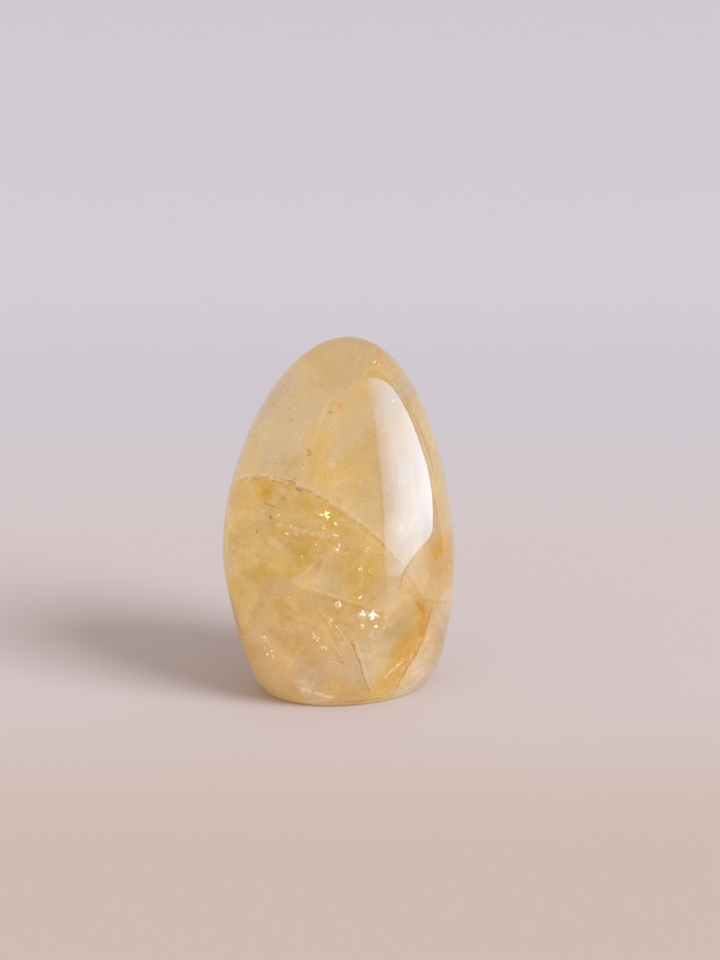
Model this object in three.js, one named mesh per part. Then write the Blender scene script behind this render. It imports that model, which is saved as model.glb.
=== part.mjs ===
// Golden healer quartz freeform: one polished, egg-like piece of cloudy yellow quartz.
// It was ground by hand on a wheel and cut flat underneath, so that it stands on its base.
// Millimetres, +Z up. The origin is on the flat base, under the middle of the stone's outline.
import * as THREE from "three";
import { mergeVertices } from "three/addons/utils/BufferGeometryUtils.js";

// Driving dimensions
const HEIGHT = 90;
const BELLY_HALF_WIDTH = 30.5;
const BELLY_HEIGHT = 33;
const BASE_HALF_WIDTH = 22.9;
const DEPTH_SHARE = 0.8; // depth of the oval section over its width
const TURN_DEG = 26; // the oval's right end is turned away from the front
const BOW = 2.1; // tip and base lean to the right of the belly by this much
const BASE_EDGE_ROUND = 2.6;

// How far each curve of the profile runs straight on before it bends
const FLANK_FLARE = new THREE.Vector2(3.4, 2.4); // up and out from the base edge
const BELLY_REACH_DOWN = 13;
const BELLY_REACH_UP = 23;
const TIP_REACH = 18.6;

// Broad faces left by the wheel. Bearing 0 is the right side, 90 the back and -90 the front.
const GROUND_FACES = [
  { bearing: -40, tilt: 0, depth: 1.1 }, // front right, down to the base
  { bearing: -120, tilt: 14, depth: 0.6 }, // front left, from the belly to the shoulder
  { bearing: 182, tilt: -14, depth: 1.1 }, // left flank, under the belly
  { bearing: 118, tilt: 10, depth: 1.4 }, // back, broad
  { bearing: 52, tilt: 34, depth: 1 }, // back right, under the tip
];
const RIDGE_SOFTNESS = 0.8; // how gently a ground face runs into the next

const SEGMENTS = 80;
const EDGE_STEPS = 4;
const FLANK_STEPS = 14;
const DOME_STEPS = 26;

const GOLDEN_QUARTZ = { color: 0xd8b273, roughness: 0.06, metalness: 0 };

// Half of the stone's outline, from the middle of the base round its edge to the belly and the tip.
function profilePoints() {
  const edgeMiddle = new THREE.Vector2(BASE_HALF_WIDTH - BASE_EDGE_ROUND, BASE_EDGE_ROUND);
  const edge = new THREE.EllipseCurve(
    edgeMiddle.x, edgeMiddle.y, BASE_EDGE_ROUND, BASE_EDGE_ROUND, -Math.PI / 2, -Math.PI / 9,
  );
  const edgeTop = edge.getPoint(1);
  const belly = new THREE.Vector2(BELLY_HALF_WIDTH, BELLY_HEIGHT);
  const flank = new THREE.CubicBezierCurve(
    edgeTop,
    edgeTop.clone().add(FLANK_FLARE),
    new THREE.Vector2(belly.x, belly.y - BELLY_REACH_DOWN),
    belly,
  );
  const dome = new THREE.CubicBezierCurve(
    belly,
    new THREE.Vector2(belly.x, belly.y + BELLY_REACH_UP),
    new THREE.Vector2(TIP_REACH, HEIGHT),
    new THREE.Vector2(0, HEIGHT),
  );
  return [
    new THREE.Vector2(0, 0),
    ...edge.getPoints(EDGE_STEPS),
    ...flank.getPoints(FLANK_STEPS).slice(1),
    ...dome.getPoints(DOME_STEPS).slice(1),
  ];
}

// Turns the round blank into the stone's leaning oval.
function makeOval(point) {
  const turn = THREE.MathUtils.degToRad(TURN_DEG);
  const fromMiddle = point.z / (HEIGHT / 2) - 1;
  point.y *= DEPTH_SHARE;
  point.applyAxisAngle(new THREE.Vector3(0, 0, 1), turn);
  point.x += BOW * fromMiddle ** 2;
}

function outwardOf(face) {
  const bearing = THREE.MathUtils.degToRad(face.bearing);
  const tilt = THREE.MathUtils.degToRad(face.tilt);
  return new THREE.Vector3(
    Math.cos(tilt) * Math.cos(bearing),
    Math.cos(tilt) * Math.sin(bearing),
    Math.sin(tilt),
  );
}

// Presses what stands out past the face's plane back onto it, with a soft ridge around it.
function grindFace(points, face) {
  const outward = outwardOf(face);
  const reach = Math.max(...points.map((point) => point.dot(outward)));
  for (const point of points) {
    const above = point.dot(outward) - (reach - face.depth);
    const taken = RIDGE_SOFTNESS * Math.log1p(Math.exp(above / RIDGE_SOFTNESS));
    point.addScaledVector(outward, -taken);
  }
}

function stoneGeometry() {
  const blank = new THREE.LatheGeometry(profilePoints(), SEGMENTS).rotateX(Math.PI / 2);
  blank.deleteAttribute("normal");
  blank.deleteAttribute("uv");
  const geometry = mergeVertices(blank, 1e-3);
  const positions = geometry.getAttribute("position");
  const points = Array.from({ length: positions.count }, (_, i) =>
    new THREE.Vector3().fromBufferAttribute(positions, i),
  );
  const onBase = points.map((point) => point.z < 1e-6);
  points.forEach(makeOval);
  GROUND_FACES.forEach((face) => grindFace(points, face));
  points.forEach((point, i) => {
    positions.setXYZ(i, point.x, point.y, onBase[i] ? 0 : point.z);
  });
  geometry.computeBoundingBox();
  const middle = geometry.boundingBox.getCenter(new THREE.Vector3());
  geometry.translate(-middle.x, -middle.y, 0);
  geometry.computeVertexNormals();
  return geometry;
}

function quartzFreeform() {
  const mesh = new THREE.Mesh(stoneGeometry(), new THREE.MeshStandardMaterial(GOLDEN_QUARTZ));
  mesh.name = "quartz_freeform";
  return mesh;
}

const stone = new THREE.Group();
stone.add(quartzFreeform());

export default stone;
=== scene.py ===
import math

import bpy
import numpy as np
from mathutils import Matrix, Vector
from mathutils.bvhtree import BVHTree


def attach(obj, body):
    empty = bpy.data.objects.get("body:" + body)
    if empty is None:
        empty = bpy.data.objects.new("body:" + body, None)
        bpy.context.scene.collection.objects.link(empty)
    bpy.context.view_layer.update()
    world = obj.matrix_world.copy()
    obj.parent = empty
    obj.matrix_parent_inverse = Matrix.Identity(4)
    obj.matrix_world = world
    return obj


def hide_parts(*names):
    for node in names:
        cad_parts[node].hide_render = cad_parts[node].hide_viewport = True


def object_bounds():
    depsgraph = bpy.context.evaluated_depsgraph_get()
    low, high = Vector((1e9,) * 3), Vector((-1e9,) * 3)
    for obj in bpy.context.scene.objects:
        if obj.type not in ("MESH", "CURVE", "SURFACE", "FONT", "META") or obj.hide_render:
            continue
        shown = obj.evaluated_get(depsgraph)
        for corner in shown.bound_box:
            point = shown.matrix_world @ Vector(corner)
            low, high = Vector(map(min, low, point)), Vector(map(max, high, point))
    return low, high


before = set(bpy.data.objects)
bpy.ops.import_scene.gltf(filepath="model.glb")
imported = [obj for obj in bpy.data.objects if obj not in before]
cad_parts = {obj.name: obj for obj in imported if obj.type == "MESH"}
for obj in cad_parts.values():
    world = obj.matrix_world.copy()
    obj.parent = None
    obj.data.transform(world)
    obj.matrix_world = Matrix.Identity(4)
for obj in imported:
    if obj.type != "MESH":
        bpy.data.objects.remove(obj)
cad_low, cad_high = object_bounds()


# The stone. One natural piece of golden healer quartz: quartz that iron has stained yellow along its cracks.
# It was ground by hand to a leaning egg with a few broad soft faces, cut flat underneath and polished.
MM = 0.001
STONE_HEIGHT = (cad_high.z - cad_low.z) / MM
BELLY_HALF_WIDTH, BELLY_HEIGHT = 30.5, 33.0
BASE_HALF_WIDTH, BASE_EDGE_ROUND = 22.9, 2.6
DEPTH_SHARE, TURN_DEG, BOW = 0.8, 26.0, 2.1
FLANK_FLARE = (3.4, 2.4)
BELLY_REACH_DOWN, BELLY_REACH_UP, TIP_REACH = 13.0, 23.0, 18.6
RIDGE_SOFTNESS = 0.8
GROUND_FACES = (  # bearing, tilt, depth: the broad faces left by the wheel
    (-40, 0, 1.1),
    (-120, 14, 0.6),
    (182, -14, 1.1),
    (118, 10, 1.4),
    (52, 34, 1.0),
)
STONE_SEGMENTS, BASE_STEPS, EDGE_STEPS, FLANK_STEPS, DOME_STEPS = 288, 6, 8, 44, 90


def bent(start, pull_out, pull_in, end, steps):
    """Points along a cubic curve from start to end, without its first point."""
    t = np.linspace(0, 1, steps + 1)[1:, None]
    a, b, c, d = (np.array(p, float) for p in (start, pull_out, pull_in, end))
    return (1 - t) ** 3 * a + 3 * (1 - t) ** 2 * t * b + 3 * (1 - t) * t**2 * c + t**3 * d


def stone_profile():
    """Radius and height from the middle of the base, round its edge, up the flank to the tip."""
    edge_start = BASE_HALF_WIDTH - BASE_EDGE_ROUND
    base = [(edge_start * i / BASE_STEPS, 0.0) for i in range(BASE_STEPS)]
    turn = np.linspace(-math.pi / 2, -math.pi / 9, EDGE_STEPS + 1)
    edge = np.stack([edge_start + BASE_EDGE_ROUND * np.cos(turn), BASE_EDGE_ROUND * (1 + np.sin(turn))], 1)
    heel = edge[-1]
    belly = (BELLY_HALF_WIDTH, BELLY_HEIGHT)
    flank = bent(heel, heel + FLANK_FLARE, (belly[0], belly[1] - BELLY_REACH_DOWN), belly, FLANK_STEPS)
    tip = (0.0, STONE_HEIGHT)
    dome = bent(belly, (belly[0], belly[1] + BELLY_REACH_UP), (TIP_REACH, STONE_HEIGHT), tip, DOME_STEPS)
    return np.vstack([base, edge, flank, dome])


def ground_stone(points):
    """The round blank made oval, turned and leaning, then ground back to each broad face."""
    x, y, z = points.T
    turn = math.radians(TURN_DEG)
    y = y * DEPTH_SHARE
    lean = BOW * (z / (STONE_HEIGHT / 2) - 1) ** 2
    points = np.stack(
        [x * math.cos(turn) - y * math.sin(turn) + lean, x * math.sin(turn) + y * math.cos(turn), z], 1
    )
    for bearing, tilt, depth in GROUND_FACES:
        b, t = math.radians(bearing), math.radians(tilt)
        outward = np.array([math.cos(t) * math.cos(b), math.cos(t) * math.sin(b), math.sin(t)])
        above = points @ outward
        above = above - (above.max() - depth)
        taken = RIDGE_SOFTNESS * np.logaddexp(0, above / RIDGE_SOFTNESS)
        points = points - taken[:, None] * outward
    points[z == 0, 2] = 0
    middle = (points.max(0) + points.min(0)) / 2
    return points - (middle[0], middle[1], 0)


def stone_mesh():
    """The stone's points in millimetres and its faces, ring by ring from the base to the tip."""
    profile = stone_profile()
    around = np.linspace(0, 2 * math.pi, STONE_SEGMENTS, endpoint=False)
    rings = profile[1:-1]
    blank = np.stack(
        [
            np.outer(rings[:, 0], np.cos(around)),
            np.outer(rings[:, 0], np.sin(around)),
            np.repeat(rings[:, 1:], STONE_SEGMENTS, 1),
        ],
        -1,
    ).reshape(-1, 3)
    points = ground_stone(np.vstack([[(0, 0, 0)], blank, [(0, 0, STONE_HEIGHT)]]))
    faces, last = [], len(points) - 1
    for j in range(STONE_SEGMENTS):
        k = (j + 1) % STONE_SEGMENTS
        faces.append((0, 1 + k, 1 + j))
        for i in range(len(rings) - 1):
            low, up = 1 + i * STONE_SEGMENTS, 1 + (i + 1) * STONE_SEGMENTS
            faces.append((low + j, low + k, up + k, up + j))
        top = 1 + (len(rings) - 1) * STONE_SEGMENTS
        faces.append((top + j, top + k, last))
    return points, faces


def new_piece(name, points_mm, faces, material):
    """A smooth mesh object in the frame's metres."""
    mesh = bpy.data.meshes.new(name)
    mesh.from_pydata((np.asarray(points_mm) * MM).tolist(), [], faces)
    mesh.shade_smooth()
    mesh.materials.append(material)
    piece = bpy.data.objects.new(name, mesh)
    bpy.context.scene.collection.objects.link(piece)
    return piece


def linear(colour):
    """An sRGB hex colour as linear red, green, blue and alpha."""
    parts = [int(colour[i : i + 2], 16) / 255 for i in (1, 3, 5)]
    return (*(c / 12.92 if c <= 0.04045 else ((c + 0.055) / 1.055) ** 2.4 for c in parts), 1.0)


def add(tree, kind, links=(), **settings):
    """A new node with its settings; links maps an input to a value, a node or one of a node's outputs."""
    node = tree.nodes.new(kind)
    for name, value in settings.items():
        setattr(node, name, value)
    for name, value in dict(links).items():
        if isinstance(value, bpy.types.Node):
            value = next(socket for socket in value.outputs if socket.enabled)
        if isinstance(value, bpy.types.NodeSocket):
            tree.links.new(value, node.inputs[name])
        else:
            node.inputs[name].default_value = value
    return node


def new_material(name):
    """An empty material and its node tree."""
    material = bpy.data.materials.new(name)
    material.use_nodes = True
    material.node_tree.nodes.clear()
    return material, material.node_tree


WANDER_SIZE = 4.0


def stone_places(tree):
    """The stone's own millimetres, plain for its clouds and wandering a little for its cracks and stains."""
    metres = add(tree, "ShaderNodeTexCoord").outputs["Object"]
    plain = add(tree, "ShaderNodeVectorMath", {0: metres, "Scale": 1 / MM}, operation="SCALE")
    wander = {"Vector": plain, "Scale": 1 / WANDER_SIZE, "Detail": 6.0, "Roughness": 0.68}
    wander = add(tree, "ShaderNodeTexNoise", wander)
    uneven = {0: wander.outputs["Color"], 1: (2.0, 2.0, 2.0), 2: (-1.0, -1.0, -1.0)}
    uneven = add(tree, "ShaderNodeVectorMath", uneven, operation="MULTIPLY_ADD")
    return plain, add(tree, "ShaderNodeVectorMath", {0: plain, 1: uneven})


def beside(places, crack, start, end, within=1.0):
    """A mask that grows from start to end millimetres off a crack's plane, inside another mask."""
    tree, (normal, offset) = places.id_data, crack
    away = add(tree, "ShaderNodeVectorMath", {0: places, 1: normal}, operation="DOT_PRODUCT")
    links = {"Value": away, "From Min": offset + start, "From Max": offset + end, "To Max": within}
    return add(tree, "ShaderNodeMapRange", links, interpolation_type="SMOOTHSTEP")


def wisps(places, size, turn, low, high, within=1.0):
    """Cloudy streaks as long as size along three turned axes, where the cloud is thicker than low."""
    tree, turn = places.id_data, tuple(math.radians(angle) for angle in turn)
    links = {"Vector": places, "Rotation": turn, "Scale": size}
    along = add(tree, "ShaderNodeMapping", links, vector_type="TEXTURE")
    cloud = add(tree, "ShaderNodeTexNoise", {"Vector": along, "Scale": 1.0, "Detail": 5.0, "Roughness": 0.64})
    links = {"Value": cloud, "From Min": low, "From Max": high, "To Max": within}
    return add(tree, "ShaderNodeMapRange", links, interpolation_type="SMOOTHSTEP")


def blot(seen, across, up, reach, within=1.0):
    """A ragged spot that fades out at its reach, so far across and up as seen from the front."""
    tree = seen.id_data
    away = add(tree, "ShaderNodeVectorMath", {0: seen, 1: (across, 0, up)}, operation="DISTANCE")
    links = {"Value": away, "From Min": reach, "From Max": 0.3 * reach, "To Max": within}
    return add(tree, "ShaderNodeMapRange", links, interpolation_type="SMOOTHSTEP")


def streak(seen, start, end, width, within=1.0):
    """A thin wandering line between two places seen from the front."""
    tree = seen.id_data
    start, end = Vector((start[0], 0, start[1])), Vector((end[0], 0, end[1]))
    run = end - start
    per_run = run / run.length_squared
    ahead = add(tree, "ShaderNodeVectorMath", {0: seen, 1: per_run}, operation="DOT_PRODUCT")
    share = add(tree, "ShaderNodeMath", {0: ahead, 1: -per_run.dot(start)}, operation="ADD", use_clamp=True)
    nearest = add(tree, "ShaderNodeVectorMath", {0: share, 1: run, 2: start}, operation="MULTIPLY_ADD")
    away = add(tree, "ShaderNodeVectorMath", {0: seen, 1: nearest}, operation="DISTANCE")
    links = {"Value": away, "From Min": 0.6 * width, "From Max": 0.1 * width, "To Max": within}
    return add(tree, "ShaderNodeMapRange", links, interpolation_type="SMOOTHSTEP")


# Polished golden healer quartz: a glassy skin over clear, honey-coloured crystal, so that its inside shows.
# Its stains sit in the stone's own millimetres, so that a crack's edge runs right round it.
QUARTZ_IOR = 1.544
ACROSS, BACKWARD, LEVEL = ((1, 0, 0), 0), ((0, 1, 0), 0), ((0, 0, 1), 0)
STAINED_FRACTURE = ((0.417, 0.662, 0.623), 17.1)
GOLDEN_VEIN = ((0.885, -0.242, -0.399), 14.1)
VEIN_INNER_EDGE = ((0.93, 0, -0.37), 6.6)
VEIL_TOP = ((-0.604, 0.209, 0.769), 28.6)
VEIL_FOOT = ((0.35, -0.13, 0.928), 31.0)
LEFT_EDGE = ((-0.944, 0.056, 0.326), 26.7)

golden_quartz, tree = new_material("Polished golden healer quartz")
plain, ragged = stone_places(tree)
# Spots and lines are placed as seen from the front; round the back a place is moved off, so none shows there.
turned_away = add(tree, "ShaderNodeVectorMath", {0: ragged, 1: (-0.15, 1, 0)}, operation="DOT_PRODUCT")
hidden = {"Value": turned_away, "From Min": -1.0, "From Max": 9.0, "To Max": 60.0}
hidden = add(tree, "ShaderNodeMapRange", hidden)
flat = add(tree, "ShaderNodeVectorMath", {0: ragged, 1: (1, 0, 1)}, operation="MULTIPLY")
seen = add(tree, "ShaderNodeVectorMath", {0: hidden, 1: (0, 1, 0), 2: flat}, operation="MULTIPLY_ADD")

patchy = wisps(plain, (3, 3, 9), (0, 8, 0), 0.42, 0.62, 0.75)
grainy = wisps(ragged, (1.4, 1.4, 1.4), (0, 0, 0), 0.42, 0.56, 0.8)
gold_zone = beside(ragged, STAINED_FRACTURE, 0.2, -0.5)
low_zone = beside(ragged, LEFT_EDGE, 0.5, -0.7, beside(ragged, VEIL_FOOT, 0.8, -1.2))
veil_zone = beside(ragged, VEIL_FOOT, -1, 0.8, beside(ragged, ACROSS, 8, -2))
vein_zone = beside(ragged, GOLDEN_VEIN, 0.3, -0.2, beside(ragged, LEVEL, 32, 22))
vein_foot = beside(ragged, LEVEL, 2.5, 6.5, beside(ragged, BACKWARD, 4, -4, 0.6))
vein_band = beside(ragged, GOLDEN_VEIN, 0.3, -0.2, beside(ragged, LEVEL, 22, 16, vein_foot))
beyond_vein = beside(ragged, GOLDEN_VEIN, 5, 2, 0.6)
edge_above = beside(ragged, STAINED_FRACTURE, 1.6, 0.5, 0.6)
edge_below = beside(ragged, STAINED_FRACTURE, 0.4, 0.1, grainy)
markings = [
    # cloud and pale wisps all through
    (wisps(plain, (26, 26, 26), (0, 0, 0), 0.38, 0.62, 0.5), "#e4ca86"),
    (wisps(plain, (8, 8, 26), (6, 10, 0), 0.5, 0.7, 0.4), "#e0c276"),
    (wisps(plain, (4, 12, 8), (10, 25, 15), 0.52, 0.75, 0.45), "#f8ead0"),
    # greyer towards the tip, browner towards the base
    (beside(ragged, ACROSS, 0, -24, beside(ragged, LEVEL, 52, 62, 0.5)), "#e8d4b2"),
    (beside(ragged, LEVEL, 46, 66, 0.55), "#dac8a4"),
    (beside(ragged, LEVEL, 16, 2, 0.5), "#d8ae60"),
    (blot(seen, 3, 88, 15, 0.6), "#d8be7c"),
    (blot(seen, 9, 82, 14, 0.5), "#cdb684"),
    (blot(seen, 10, 86, 9, 0.4), "#c2aa78"),
    (blot(seen, 8, 72, 11, 0.45), "#d4bc7e"),
    (blot(seen, 7, 61, 10, 0.55), "#d0b872"),
    (blot(seen, 8, 51, 8, 0.45), "#d6bc7a"),
    # the gold under the stained fracture
    (beside(ragged, STAINED_FRACTURE, 0.2, -0.5, 0.85), "#ecd286"),
    (wisps(plain, (9, 9, 5), (0, 20, 0), 0.44, 0.62, gold_zone), "#e0c060"),
    (wisps(plain, (8, 8, 2.2), (0, 18, 0), 0.54, 0.72, gold_zone), "#f6e4bc"),
    # the brown part low down and the milky veil above it
    (beside(ragged, LEFT_EDGE, 0.5, -0.7, beside(ragged, VEIL_FOOT, 0.8, -1.2, 0.8)), "#dec294"),
    (wisps(plain, (14, 14, 7), (0, 40, 0), 0.5, 0.68, low_zone), "#d0a862"),
    (beside(ragged, VEIL_TOP, 0.3, -0.3, beside(ragged, VEIL_TOP, -13, -1, veil_zone)), "#f0d8ac"),
    # fine upright threads, drawn coarser than the real ones, and the two lips of the fracture
    (wisps(plain, (1.5, 1.5, 8), (0, 6, 0), 0.52, 0.74, 0.2), "#f8ecd2"),
    (beside(ragged, STAINED_FRACTURE, -0.1, 0.3, edge_above), "#f6e8cc"),
    (beside(ragged, STAINED_FRACTURE, -0.8, -0.1, edge_below), "#c89a4a"),
]
YELLOW, AMBER, RUST, BROWN, PALE = "#e8cc64", "#e8b034", "#c07c24", "#824a14", "#fdf2dc"
for across, up, reach, within, tint in (  # spots: place and reach in millimetres, strength, colour
    (-4.5, 68, 5.5, 0.6, YELLOW),
    (-4.5, 62, 6, patchy, YELLOW),
    (0.5, 59, 6.5, patchy, YELLOW),
    (-0.5, 76, 2.6, grainy, "#dca850"),
    (-7, 65.5, 1.2, 0.8, "#d89838"),
    (11, 86.5, 3, 0.4, "#e8aa80"),
    (9, 85, 2.6, grainy, "#d0a866"),
    (-18, 56, 3.6, 0.8, "#e4b838"),
    (-17.5, 55, 2.2, 0.8, "#dca61c"),
    (-19.5, 58, 1.6, 0.5, AMBER),
    (-7, 40, 6.5, patchy, "#dab04e"),
    (5, 38, 9, patchy, "#e2be60"),
    (4, 27, 2.6, 0.6, "#d8ae56"),
    (-8, 28.5, 5, 0.5, "#d0a860"),
    (-19, 34, 5, 0.5, "#d4ac58"),
    (-12.5, 17.5, 4, 0.4, "#cca25c"),
    (-7.5, 13.5, 3.6, patchy, "#cfa458"),
    (-2, 7.5, 4.5, 0.5, "#d4a650"),
    (27, 36, 8, 0.7, "#e2b04e"),
    (25, 30, 7, 0.5, "#e6b050"),
    (25, 38, 4, patchy, "#ecb43c"),
    # deeper gold at the lower left flank and along the base: the stone's own gold, deepened into a painted
    # glow of light through the stone
    (-24, 27, 8, 0.6, "#d4a650"),
    (-14, 2, 10, 0.8, "#d89c38"),
    (-20, 11, 9, 0.6, "#d8a646"),
    (2, 0, 12, 0.7, "#dca850"),
    (13, 12, 13, 0.6, "#fdf0d8"),
    (14, 30, 10, 0.5, "#f8e6c4"),
    (-9, 6.5, 3, grainy, PALE),
    (20, 6, 3.4, grainy, PALE),
    (8.5, 20, 2.6, grainy, PALE),
    (12, 23, 2.4, grainy, PALE),
    # white dots over the brightest crack flakes: the cracks' own whiteness with a painted glint on it
    (-1.5, 62.5, 1.3, 0.6, PALE),
    (0, 42.5, 1.8, grainy, PALE),
    (0, 28.5, 1.1, 0.8, PALE),
    (6, 25.5, 1.7, 0.8, PALE),
    (8.5, 25, 1.7, 0.9, "#fff8ee"),
    (6, 22.5, 0.8, 0.8, PALE),
    (9, 22, 0.7, 0.8, PALE),
    (-2, 74.5, 0.45, 0.8, BROWN),
    (-7.5, 65, 0.4, 0.8, BROWN),
    (-8.5, 62.5, 0.35, 0.8, BROWN),
    (-16, 58, 0.4, 0.7, BROWN),
    (-10.5, 59, 0.4, 0.7, BROWN),
    (-16.5, 49.5, 0.5, 0.8, BROWN),
    (-17.5, 50, 0.4, 0.6, RUST),
    (-20, 45.5, 0.45, 0.8, BROWN),
    (-13.5, 79.5, 0.5, 0.6, RUST),
    (-12, 75, 0.4, 0.5, RUST),
    (-11, 78, 0.4, 0.4, RUST),
    (-13, 54.5, 0.4, 0.6, BROWN),
    (19.5, 17, 0.5, 0.8, "#80706a"),
):
    markings.append((blot(seen, across, up, reach, within), tint))
markings += [
    (beside(ragged, GOLDEN_VEIN, -9, -1, vein_zone), "#f2ce78"),
    (beside(ragged, VEIN_INNER_EDGE, -0.5, 0.7, vein_band), "#efb634"),
    (beside(ragged, GOLDEN_VEIN, 0.1, 0.8, beyond_vein), "#f6e8d0"),
]
for start, end, width, within, tint in (  # lines: both ends and width in millimetres, strength, colour
    ((20.5, 25), (20.5, 17.5), 4.5, 0.7, "#eeb03c"),
    ((18.5, 17), (13, 6), 6, 0.4, "#efb236"),
    # pale band along the highlight's lower edge: a painted continuation of the highlight's faint reflection
    ((19, 40), (12, 28), 6, 0.55, "#fbf0dc"),
    ((21, 22), (20.5, 17), 2, 0.7, "#e69c20"),
    ((19.5, 14.5), (15, 7), 3, grainy, "#e8a010"),
    ((23, 23.5), (22, 19.5), 0.8, 0.8, "#da9024"),
    ((22, 19.5), (21, 15.5), 0.8, 0.85, "#d8901c"),
    ((21, 15.5), (18.5, 11.5), 0.9, 0.9, "#d89214"),
    ((18.5, 11.5), (15.5, 6.5), 0.9, 0.9, "#d89414"),
    ((15.5, 6.5), (14, 3.5), 0.9, 0.7, "#dc9c34"),
    ((19.5, 26), (21, 23), 1.6, 0.8, "#d28220"),
    ((21.5, 25.5), (24, 24), 1, grainy, "#d88c2c"),
    ((24, 24), (27, 23), 1, grainy, "#dc9844"),
    ((22, 41.5), (17, 36), 0.6, 0.6, "#d8a450"),
    ((17, 36), (14.5, 31), 0.6, 0.6, "#d8a450"),
    ((11.5, 7.5), (15.5, 11), 0.9, grainy, PALE),
    # gold down the lower left flank: the stone's own gold with a painted glow of light through the stone
    ((-27, 22), (-20, 4), 9, 0.6, "#d49a3a"),
    ((2.5, 17), (6, 5), 2.4, 0.4, "#cfa75c"),
    # pale band under the highlight's foot: a painted part of its faint reflection
    ((12.5, 36), (13.5, 27), 3, 0.5, "#fbf0dc"),
    ((-12, 72.5), (-11, 72.5), 0.6, 0.8, "#cc9444"),
    ((-16.5, 75.5), (-14, 74), 0.4, 0.5, "#c09860"),
    ((-21.5, 57), (-17, 59), 0.4, grainy, RUST),
    ((-17, 59), (-12, 58.5), 0.45, grainy, RUST),
    ((-12, 58.5), (-10.5, 58), 0.6, 0.8, BROWN),
    ((-10, 57), (-9, 56.5), 0.6, 0.8, BROWN),
    ((-18, 52.5), (-14.5, 52), 0.5, grainy, BROWN),
    ((-23, 50.5), (-21.5, 50.5), 0.5, 0.5, RUST),
    ((-15, 48), (-11.5, 47.5), 1.4, grainy, PALE),
    ((-11.5, 47.5), (-8.5, 46.5), 1.6, grainy, PALE),
    ((-8.5, 46.5), (-3, 46), 1.8, grainy, PALE),
    ((-3.5, 26.5), (1, 18), 0.6, grainy, PALE),
    ((-1.5, 25), (2.5, 17.5), 0.4, grainy, PALE),
    ((-4.5, 24), (0.5, 15), 0.5, grainy, PALE),
    ((-12.5, 34), (-6.5, 33), 0.5, grainy, PALE),
    ((-6.5, 33), (-1, 31), 0.5, grainy, PALE),
    ((-1, 31), (10.5, 26), 0.5, grainy, PALE),
    ((-9, 32), (-1, 30), 0.7, 0.5, "#c89a3e"),
    ((-1, 30), (10.5, 25), 0.7, 0.5, "#c89a3e"),
    ((-9.5, 36), (-5.5, 39.5), 0.5, 0.5, PALE),
    ((-5.5, 39.5), (-2, 42.5), 0.5, grainy, PALE),
    ((3, 19), (5, 12.5), 0.6, 0.9, "#b88430"),
    ((5, 12.5), (7.5, 4), 0.55, 0.8, "#b88430"),
    ((4, 18.5), (6, 12.5), 0.5, 0.6, PALE),
    ((6, 12.5), (8, 4), 0.5, 0.6, PALE),
    ((-9, 5.5), (-5, 4), 1.2, grainy, PALE),
    ((-5, 4), (-1.5, 3), 1.2, grainy, PALE),
    ((5, 58.5), (9, 59), 0.4, 0.5, "#eed494"),
):
    markings.append((streak(seen, start, end, width, within), tint))
SPECK_SPACING = 4.0  # the real specks are finer and closer; these are drawn coarser, so that they show
speck_cells = add(tree, "ShaderNodeTexVoronoi", {"Vector": ragged, "Scale": 1 / SPECK_SPACING})
specks = {"Value": speck_cells.outputs["Distance"], "From Min": 0.08, "From Max": 0.04, "To Max": 0.6}
markings.append((add(tree, "ShaderNodeMapRange", specks), "#98703a"))
colour = linear("#ecd8b0")
for mask, tint in markings:
    colour = add(tree, "ShaderNodeMix", {0: mask, 6: colour, 7: linear(tint)}, data_type="RGBA")

# From inside, the skin lets light straight out: the cloud in the stone hides what bends there.
inside = add(tree, "ShaderNodeNewGeometry").outputs["Backfacing"]
held = add(tree, "ShaderNodeMapRange", {"Value": inside, "To Min": 1.0, "To Max": 0.0})
skin = {
    "Base Color": colour,
    "Roughness": 0.03,
    "IOR": QUARTZ_IOR,
    "Transmission Weight": 0.82,
    "Alpha": held,
}
depth = add(tree, "ShaderNodeVolumeAbsorption", {"Color": linear("#fee773"), "Density": 9.0})
surface = add(tree, "ShaderNodeBsdfPrincipled", skin)
add(tree, "ShaderNodeOutputMaterial", {"Surface": surface, "Volume": depth})
stone_points, stone_faces = stone_mesh()
stone = new_piece("golden_quartz_stone", stone_points, stone_faces, golden_quartz)
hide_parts("quartz_freeform")
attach(stone, "root")


# What shows inside the stone. Cracks that healed with a film of iron stain or fine bubbles, each a thin sheet
# on its crack's plane that runs out to just under the polish.
UNDER_SKIN = 0.97  # share of the way out to the skin
SHEET_SPOKES, SHEET_RINGS = 72, 24
stone_skin = BVHTree.FromPolygons(stone_points.tolist(), stone_faces)


def crack_sheet(crack, middle, reach=100.0, swell=1.0):
    """A gently rolling sheet on a crack's plane, from a middle point out to its reach or to the skin."""
    normal, offset = Vector(crack[0]).normalized(), crack[1] / Vector(crack[0]).length
    middle = Vector(middle)
    middle -= normal * (normal.dot(middle) - offset)
    along = normal.orthogonal().normalized()
    points, faces = [middle], []
    for j in range(SHEET_SPOKES):
        turn = 2 * math.pi * j / SHEET_SPOKES
        out = along * math.cos(turn) + normal.cross(along) * math.sin(turn)
        edge = min(UNDER_SKIN * stone_skin.ray_cast(middle, out)[3], reach)
        for i in range(1, SHEET_RINGS + 1):
            share = i / SHEET_RINGS
            roll = math.sin(2 * turn + 4 * share) + 0.6 * math.sin(5 * turn - 7 * share)
            points.append(middle + out * edge * share + normal * swell * roll * share * (1 - share))
    for j in range(SHEET_SPOKES):
        here, after = 1 + j * SHEET_RINGS, 1 + (j + 1) % SHEET_SPOKES * SHEET_RINGS
        faces.append((0, here, after))
        for i in range(SHEET_RINGS - 1):
            faces.append((here + i, here + i + 1, after + i + 1, after + i))
    return [tuple(p) for p in points], faces


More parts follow.
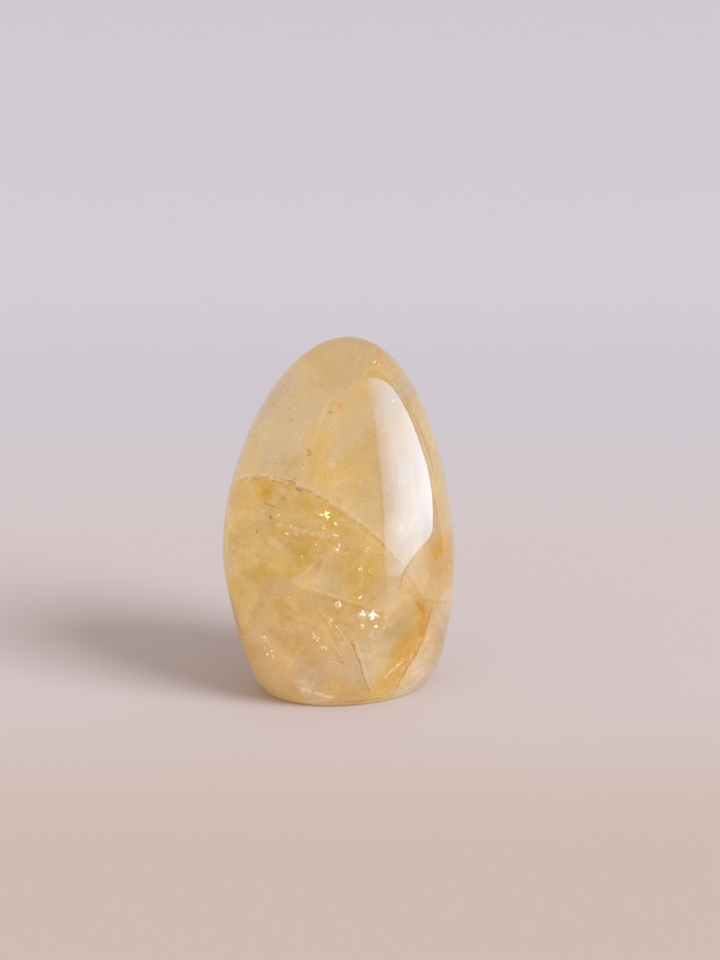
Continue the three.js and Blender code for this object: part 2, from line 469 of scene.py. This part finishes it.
# Iron stain on a healed crack: a thin, patchy ochre film that yellows what is seen through it.
stain_film, tree = new_material("Iron stain on a healed crack")
plain, ragged = stone_places(tree)
tone = {0: wisps(plain, (6, 6, 6), (0, 0, 0), 0.4, 0.65), 6: linear("#f2d688"), 7: linear("#e2bc5c")}
film = {
    "Base Color": add(tree, "ShaderNodeMix", tone, data_type="RGBA"),
    "Roughness": 0.7,
    "Specular IOR Level": 0.0,
    "Alpha": wisps(plain, (14, 14, 9), (0, 20, 0), 0.3, 0.7, beside(ragged, BACKWARD, 6, -8, 0.55)),
}
add(tree, "ShaderNodeOutputMaterial", {"Surface": add(tree, "ShaderNodeBsdfPrincipled", film)})
inner_pieces = [
    new_piece("stained_fracture", *crack_sheet(STAINED_FRACTURE, (0, 0, 27)), stain_film),
    new_piece("golden_vein_film", *crack_sheet(GOLDEN_VEIN, (18, -9, 12), 9), stain_film),
]

# Veil of fine bubbles: milky, streaky sheets that catch the light and make the crystal cloudy.
# The bubbles are far too fine to draw, so their streaks are coarser.
veil_white, tree = new_material("Veil of fine bubbles")
plain, _ = stone_places(tree)
tone = {0: wisps(plain, (8, 8, 8), (0, 0, 0), 0.4, 0.6), 6: linear("#ecdcb8"), 7: linear("#e2cc98")}
film = {
    "Base Color": add(tree, "ShaderNodeMix", tone, data_type="RGBA"),
    "Roughness": 0.9,
    "Specular IOR Level": 0.0,
    "Alpha": wisps(plain, (9, 14, 16), (15, 35, 10), 0.34, 0.74, beside(plain, BACKWARD, -20, -12, 0.65)),
}
add(tree, "ShaderNodeOutputMaterial", {"Surface": add(tree, "ShaderNodeBsdfPrincipled", film)})
VEILS = (  # which way each one faces, and its middle
    ((0.15, 0.95, 0.1), (0, -9, 40)),
    ((-0.3, 0.9, -0.25), (0, 0, 45)),
    ((0.3, 0.85, 0.35), (0, 9, 40)),
    ((-0.85, 0.4, 0.3), (-9, 0, 40)),
    ((0.85, 0.45, -0.2), (9, 0, 35)),
)
for i, (facing, middle) in enumerate(VEILS):
    facing = Vector(facing).normalized()
    veil = crack_sheet((facing, facing.dot(middle)), middle)
    inner_pieces.append(new_piece(f"bubble_veil_{i + 1}", *veil, veil_white))

# Glints: tiny open cracks that flash white, each a flake of a millimetre or less.
glint_white, tree = new_material("Bright face of a tiny crack")
plain, _ = stone_places(tree)
tone = {0: wisps(plain, (2, 2, 2), (0, 0, 0), 0.4, 0.6), 6: linear("#fffdf6"), 7: linear("#fff2d0")}
face = {"Base Color": add(tree, "ShaderNodeMix", tone, data_type="RGBA"), "Roughness": 0.35}
add(tree, "ShaderNodeOutputMaterial", {"Surface": add(tree, "ShaderNodeBsdfPrincipled", face)})
GLINTS = (  # across, up, spread, longest, how many
    (-3, 51, 1.2, 1.8, 8),
    (-3.5, 48, 0.8, 0.9, 3),
    (-0.5, 48.5, 0.6, 0.9, 3),
    (-12.5, 46, 0.7, 1, 3),
    (-10, 47, 2.2, 0.6, 6),
    (-9, 40.5, 0.7, 0.8, 4),
    (-5.5, 44, 0.5, 0.7, 2),
    (-0.5, 45.5, 0.7, 0.7, 4),
    (0, 42.5, 1, 1, 7),
    (7, 42, 0.5, 0.6, 2),
    (5.5, 43, 0.5, 0.5, 2),
    (5.5, 37.5, 0.8, 1.1, 4),
    (8, 37, 1.4, 0.8, 6),
    (5.5, 30, 0.5, 1.2, 3),
    (0, 28.5, 0.8, 1, 6),
    (6, 25.5, 1, 1.6, 12),
    (8.5, 25, 1, 1.8, 16),
    (6, 22.5, 0.7, 1, 5),
    (9, 22, 0.7, 0.9, 5),
    (11, 21.5, 0.5, 0.8, 3),
    (8.5, 20, 1.2, 0.6, 6),
    (-6, 20, 0.9, 1.3, 10),
    (-3.5, 17, 0.7, 0.7, 4),
    (-19, 18, 1.1, 1, 7),
    (-17, 14, 1.2, 1, 8),
    (9, 85, 0.3, 1.4, 4),
    (9, 85, 1.4, 0.6, 6),
    (-9.5, 25.5, 0.4, 0.6, 2),
    (-12.5, 30, 0.4, 0.7, 2),
    (21, 20.5, 0.8, 0.6, 4),
    (16, 12, 1.2, 0.6, 6),
    (-7, 5, 2.5, 0.7, 8),
    (20, 6, 1.8, 0.6, 6),
)
BRIGHT_THREADS = (  # fine cracks seen end on, from one place across and up to another
    ((-19.5, 19.5), (-18, 14)),
    ((-18, 14), (-16, 12)),
    ((-18.5, 19), (-17, 16.5)),
    ((-17, 15.5), (-16, 12)),
    ((-6.5, 21), (-5.5, 19.5)),
    ((-5.5, 19), (-3.5, 17.5)),
    ((-3.5, 17.5), (-2.5, 17)),
    ((-2.5, 25.5), (0, 22)),
    ((-1.5, 13.5), (0, 12.5)),
    ((12, 8), (15.5, 11)),
    ((21, 21), (21, 19)),
)
FLAKE_CORNERS = ((-1, 0.1), (-0.3, -0.8), (0.5, -1), (1, -0.1), (0.2, 0.9), (-0.6, 0.7))
THREAD_STEP = 0.8
chance = np.random.default_rng(7)


def under_skin(across, up, depth):
    """A place so far across and up as seen from the front, so deep under the skin, and the way out."""
    at, out, _, _ = stone_skin.ray_cast(Vector((across, -60, up)), Vector((0, 1, 0)))
    return at - out * depth, out


def glint_flake(at, out, along, longest, slim):
    """A small pointed sliver at a place in the stone, leaning a little off the way it faces."""
    out = (out + 0.4 * Vector(chance.normal(size=3))).normalized()
    along = (along - out * along.dot(out)).normalized()
    across = out.cross(along)
    long = longest * (0.35 + 0.65 * chance.random()) / 2
    wide = long * slim * (0.5 + chance.random())
    return [at + along * long * a + across * wide * b for a, b in FLAKE_CORNERS]


flakes = []
for across, up, spread, longest, count in GLINTS:
    for _ in range(count):
        x, z = across + spread * chance.normal() / 2, up + spread * chance.normal() / 2
        at, out = under_skin(x, z, 0.3 + longest / 2)
        flakes.append(glint_flake(at, out, Vector(chance.normal(size=3)), longest, 0.3))
for start, end in BRIGHT_THREADS:
    (start, out), (end, _) = under_skin(*start, 0.5), under_skin(*end, 0.5)
    count = math.ceil((end - start).length / THREAD_STEP)
    for i in range(count):
        flakes.append(glint_flake(start.lerp(end, (i + 0.5) / count), out, end - start, 1.1, 0.14))
for sheet in inner_pieces:
    count = 40 if sheet.name == "stained_fracture" else 8
    for point in chance.choice(len(sheet.data.vertices), count, replace=False):
        at = sheet.data.vertices[int(point)]
        flakes.append(glint_flake(at.co / MM * 0.98, at.normal, Vector(chance.normal(size=3)), 0.8, 0.3))
points = [tuple(corner) for flake in flakes for corner in flake]
sides = len(FLAKE_CORNERS)
faces = [tuple(range(sides * i, sides * (i + 1))) for i in range(len(flakes))]
glints = new_piece("crack_glints", points, faces, glint_white)
inner_pieces.append(glints)
for piece in inner_pieces:
    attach(piece, "root")


# The floor. A plain pale sheet of paper that runs level under the stone and curves up far behind it.
# It is stage only and catches the stone's shadow.

# Matt pale paper: no shine, and a tone that cools with distance.
floor_paper, tree = new_material("Matt pale paper")
place = add(tree, "ShaderNodeTexCoord").outputs["Object"]
run = add(tree, "ShaderNodeSeparateXYZ", {"Vector": place}).outputs["Y"]
tone = linear("#c5b7af")
for start, end, tint in ((-0.11, 0.0, "#cac2c3"), (0.12, 0.32, "#c5c4ca"), (0.42, 0.73, "#babac0")):
    turns = {"Value": run, "From Min": start, "From Max": end}
    turns = add(tree, "ShaderNodeMapRange", turns, interpolation_type="SMOOTHSTEP")
    tone = add(tree, "ShaderNodeMix", {0: turns, 6: tone, 7: linear(tint)}, data_type="RGBA")
paper = {"Base Color": tone, "Roughness": 0.9, "Specular IOR Level": 0.0}
add(tree, "ShaderNodeOutputMaterial", {"Surface": add(tree, "ShaderNodeBsdfPrincipled", paper)})
FLOOR_HALF_WIDTH, FLOOR_FRONT, FLOOR_BACK, SWEEP_RADIUS, WALL_TOP = 6000.0, -6000.0, 420.0, 400.0, 1500.0
FLOOR_LEVEL, SWEEP_STEPS = -0.2, 24
run_points = [(FLOOR_FRONT, 0.0), (FLOOR_BACK, 0.0)]
for i in range(1, SWEEP_STEPS + 1):
    a = math.pi / 2 * i / SWEEP_STEPS
    run_points.append((FLOOR_BACK + SWEEP_RADIUS * math.sin(a), SWEEP_RADIUS * (1 - math.cos(a))))
run_points.append((FLOOR_BACK + SWEEP_RADIUS, WALL_TOP))
points = [(side * FLOOR_HALF_WIDTH, y, FLOOR_LEVEL + z) for y, z in run_points for side in (-1, 1)]
faces = [(2 * i, 2 * i + 1, 2 * i + 3, 2 * i + 2) for i in range(len(run_points) - 1)]
floor = new_piece("floor_sweep", points, faces, floor_paper)


# The light. A large soft key from the right, a pale room all round, a fill on the stone's left, and a tall
# soft panel close on the right, with a dark edge and a pale flag, that only the polish mirrors.

# Pale room: an even warm light; where the floor ends, the camera looks at a backdrop of the floor's tone.
ROOM_TONE, ROOM_LEVEL = "#f2e4da", 0.82
world = bpy.data.worlds.new("Pale room")
world.use_nodes = True
tree = world.node_tree
tree.nodes.clear()
room = add(tree, "ShaderNodeBackground", {"Color": linear(ROOM_TONE), "Strength": ROOM_LEVEL})
beyond_floor = add(tree, "ShaderNodeBackground", {"Color": linear("#d3cdd3")})
looked_at = add(tree, "ShaderNodeLightPath").outputs["Is Camera Ray"]
around = add(tree, "ShaderNodeMixShader", {0: looked_at, 1: room, 2: beyond_floor})
add(tree, "ShaderNodeOutputWorld", {"Surface": around})
bpy.context.scene.world = world


def hung(lamp, location):
    """The lamp on its stand, turned to the stone; the polish does not mirror it."""
    stand = bpy.data.objects.new(lamp.name, lamp)
    stand.location = location
    stand.rotation_euler = (-Vector(location)).to_track_quat("-Z", "Y").to_euler()
    stand.visible_glossy = False
    stand.visible_transmission = False
    bpy.context.scene.collection.objects.link(stand)
    return stand


def soft_lamp(name, size, energy, location):
    """A square soft lamp, its size in metres and its energy in watts."""
    lamp = bpy.data.lights.new(name, "AREA")
    lamp.shape = "SQUARE"
    lamp.size = size
    lamp.energy = energy
    return hung(lamp, location)


def reaches_only(lamp, *pieces):
    """The lamp lights these pieces alone."""
    alone = bpy.data.collections.new(lamp.name + "_reach")
    for piece in pieces:
        alone.objects.link(piece)
    lamp.light_linking.receiver_collection = alone


window = bpy.data.lights.new("soft_key", "SUN")
window.energy = 2.8
window.angle = math.radians(32)
window.color = linear("#f6f8ff")[:3]
reaches_only(hung(window, (0.60, -0.42, 0.47)), floor)
reaches_only(soft_lamp("stone_key", 0.5, 4.1, (0.62, -0.42, 0.22)), stone, *inner_pieces)
reaches_only(soft_lamp("stone_fill", 0.6, 1.6, (-0.50, -0.38, 0.12)), stone, *inner_pieces)
glint_key = soft_lamp("glint_key", 0.3, 5.0, (-0.10, -0.60, 0.30))
glint_key.data.color = linear("#ccdaff")[:3]
reaches_only(glint_key, glints)

PANEL_X = 125.0


def rounded(outline, times=2):
    """The outline with its corners cut off, and cut again, so that it runs smooth."""
    points = np.array(outline, float)
    for _ in range(times):
        after = np.roll(points, -1, 0)
        points = np.stack([0.75 * points + 0.25 * after, 0.25 * points + 0.75 * after], 1).reshape(-1, 2)
    return points


def soft_card(name, points, material):
    """A card beside the stone that only the polish mirrors."""
    card = new_piece(name, points, [tuple(range(len(points)))], material)
    card.visible_camera = False
    card.visible_diffuse = False
    card.visible_transmission = False
    card.visible_volume_scatter = False
    card.visible_shadow = False


# Lit softbox cloth: a cool glow, dimmer at its near edge, foot and top, mirrored as the long highlight.
panel_cloth, tree = new_material("Lit softbox cloth")
spot = add(tree, "ShaderNodeSeparateXYZ", {"Vector": add(tree, "ShaderNodeTexCoord").outputs["Object"]})
edge = {"Value": spot.outputs["Y"], "From Min": -0.102, "From Max": -0.086, "To Max": 0.35}
rise = {"Value": spot.outputs["Y"], "From Min": -0.088, "From Max": -0.04, "To Max": 0.54}
edge = add(tree, "ShaderNodeMapRange", edge, interpolation_type="SMOOTHSTEP")
rise = add(tree, "ShaderNodeMapRange", rise)
level = add(tree, "ShaderNodeMath", {0: edge, 1: rise}, operation="ADD")
foot = {"Value": spot.outputs["Z"], "From Min": -0.012, "From Max": 0.032}
fall = {"Value": spot.outputs["Z"], "From Min": 0.08, "From Max": 0.18, "To Min": 10.0, "To Max": 4.2}
foot = add(tree, "ShaderNodeMapRange", foot)
fall = add(tree, "ShaderNodeMapRange", fall)
level = add(tree, "ShaderNodeMath", {0: level, 1: foot}, operation="MULTIPLY")
power = add(tree, "ShaderNodeMath", {0: level, 1: fall}, operation="MULTIPLY")
glow = add(tree, "ShaderNodeEmission", {"Color": linear("#b6d6ff"), "Strength": power})
add(tree, "ShaderNodeOutputMaterial", {"Surface": glow})
PANEL_OUTLINE = (
    (-110, 3), (-40, 3), (-8, 10), (6, 14), (17, 19), (22, 27), (29, 38), (36, 51), (37, 62), (31, 77),
    (29, 89), (24, 103), (21, 115), (13, 131), (9, 141), (-13, 165), (-24, 178), (-50, 202), (-90, 215),
    (-84, 130), (-98, 108), (-106, 75), (-104, 45),
)
soft_card("softbox_panel", [(PANEL_X, y, z) for y, z in rounded(PANEL_OUTLINE)], panel_cloth)

# Black edge tape: the dark line along the highlight's outer edge.
edge_tape, tree = new_material("Black edge tape")
surface = add(tree, "ShaderNodeBsdfDiffuse", {"Color": linear("#0a0a0a")})
add(tree, "ShaderNodeOutputMaterial", {"Surface": surface})
TAPE_OUTLINE = (
    (0, 4), (50, 8), (58, 26), (62, 38), (70, 51), (74, 63), (68, 76), (60, 90), (52, 106), (48, 124),
    (42, 142), (24, 172), (0, 195), (-30, 220), (-60, 235), (-50, 200), (-20, 170),
)
soft_card("softbox_edge", [(PANEL_X + 4, y, z) for y, z in rounded(TAPE_OUTLINE)], edge_tape)

# Pale flag cloth: as bright as the room, so that from behind the polish doesn't mirror the panel.
flag_cloth, tree = new_material("Pale flag cloth")
glow = add(tree, "ShaderNodeEmission", {"Color": linear(ROOM_TONE), "Strength": ROOM_LEVEL})
add(tree, "ShaderNodeOutputMaterial", {"Surface": glow})
FLAG_CORNERS = (
    (36, 1, -5), (PANEL_X, 39, -5), (PANEL_X, 39, 240), (20, -6, 240), (20, -6, 85), (36, 1, 45),
)
soft_card("softbox_flag", FLAG_CORNERS, flag_cloth)


# The camera, where the photographer stood: a short telephoto lens a little above the stone,
# looking slightly down at it.
camera = bpy.data.cameras.new("camera")
camera.lens, camera.sensor_width = 85.0, 36.0
camera_stand = bpy.data.objects.new("camera", camera)
camera_stand.location = (0.00517, -0.5527, 0.1914)
camera_stand.rotation_euler = (math.radians(90 - 14), 0, 0)
bpy.context.scene.collection.objects.link(camera_stand)
bpy.context.scene.camera = camera_stand
bpy.context.scene.view_settings.view_transform = "Standard"
